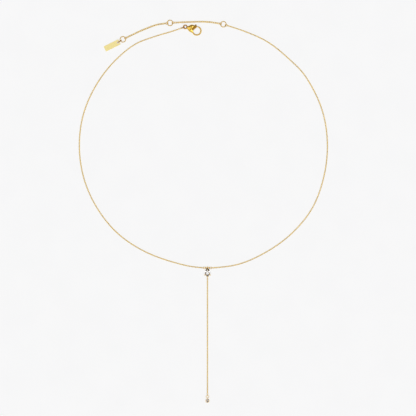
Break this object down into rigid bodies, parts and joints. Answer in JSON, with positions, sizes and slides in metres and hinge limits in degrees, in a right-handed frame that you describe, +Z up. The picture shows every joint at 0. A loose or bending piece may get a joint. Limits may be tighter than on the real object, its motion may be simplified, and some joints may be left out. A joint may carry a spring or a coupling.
{
  "type": "y necklace",
  "caption": "Y necklace of fine cable chain: lobster clasp, extender with rings and tag, pear stone in prongs, and a long drop with a round bezel stone.",
  "frame": {"origin": "middle of the laid out necklace's bounding box, on the surface that it lies on", "axes": "+Z up from the surface, +Y from the drop's end towards the clasp, +X to the right seen from above"},
  "size_m": [0.1402, 0.2153, 0.003],
  "materials": {
    "gold": "polished gold plate",
    "pale_gold": "polished pale gold plate",
    "clear_stone": "clear, cut and polished"
  },
  "bodies": {
    "necklace": {"main_chain_right": "gold", "main_chain_left": "gold", "extender_chain_inner": "gold", "extender_chain_outer": "gold", "extender_ring_1": "gold", "extender_ring_2": "gold", "extender_ring_3": "gold", "joint_ring_1": "gold", "joint_ring_2": "gold", "joint_ring_3": "gold", "joint_ring_4": "gold", "joint_ring_5": "gold", "tag_ring": "gold", "tag_plate": "pale_gold", "clasp_ring": "gold", "clasp_body": "gold", "clasp_pin": "gold", "centre_ring_right": "gold", "centre_ring_left": "gold", "centre_setting": "gold", "centre_stone": "clear_stone", "drop_chain": "gold", "drop_ring": "gold", "end_bezel": "gold", "end_stone": "clear_stone"},
    "lever": {"clasp_lever": "gold"}
  },
  "joints": [
    {"name": "clasp_opens", "type": "hinge", "parent": "necklace", "child": "lever", "pos_m": [-0.0073, 0.10231, 0.00115], "axis": [0, 0, 1], "range_deg": [0, 25], "stiffness_Nm_per_rad": 0.0004, "springref_deg": -22.92}
  ]
}
